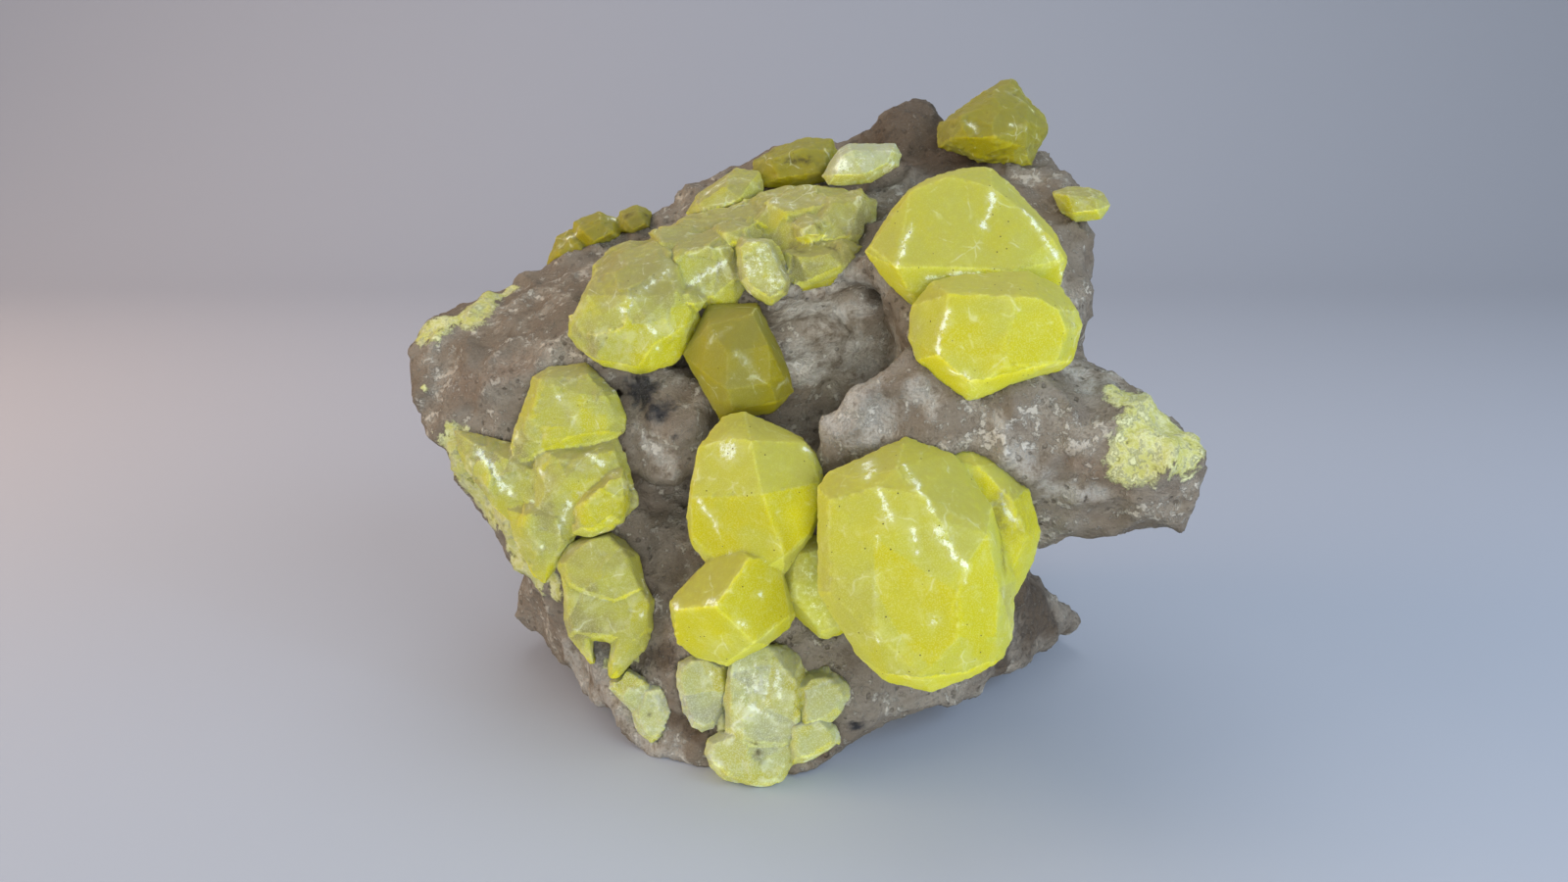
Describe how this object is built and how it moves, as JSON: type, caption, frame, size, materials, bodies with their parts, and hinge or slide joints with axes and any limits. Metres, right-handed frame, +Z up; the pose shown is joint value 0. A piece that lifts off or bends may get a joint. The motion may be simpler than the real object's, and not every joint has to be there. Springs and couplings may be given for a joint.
{
  "type": "native sulfur crystal specimen",
  "caption": "Mineral specimen of yellow native sulfur crystals grown over a hollowed block of grey-brown limestone, standing free on its flat foot.",
  "frame": {"origin": "centre of the bounding box's bottom face, on the surface the specimen stands on", "axes": "+Z up, +X to the right and +Y to the back as seen from the side with the large crystals"},
  "size_m": [0.1328, 0.1074, 0.1091],
  "materials": {
    "limestone": "rough weathered limestone with pale and rusty stains",
    "sulfur": "waxy, frosted yellow crystal with chipped white edges",
    "pale_sulfur": "pale, chalky yellow crystal"
  },
  "bodies": {
    "root": {"matrix": "limestone", "front_twin": "sulfur", "centre_crystals": "sulfur", "shoulder_pair": "sulfur", "hollow_crystal": "sulfur", "upper_crust": "sulfur", "ridge_left_crystal": "sulfur", "ridge_right_crystal": "sulfur", "summit_crystal": "sulfur", "edge_crystal": "sulfur", "back_left_crystals": "sulfur", "left_rim_crystals": "sulfur", "lower_left_crystal": "sulfur", "pale_blade": "pale_sulfur", "low_left_crust": "pale_sulfur", "foot_small_crystal": "pale_sulfur", "foot_plates": "pale_sulfur"}
  },
  "joints": []
}
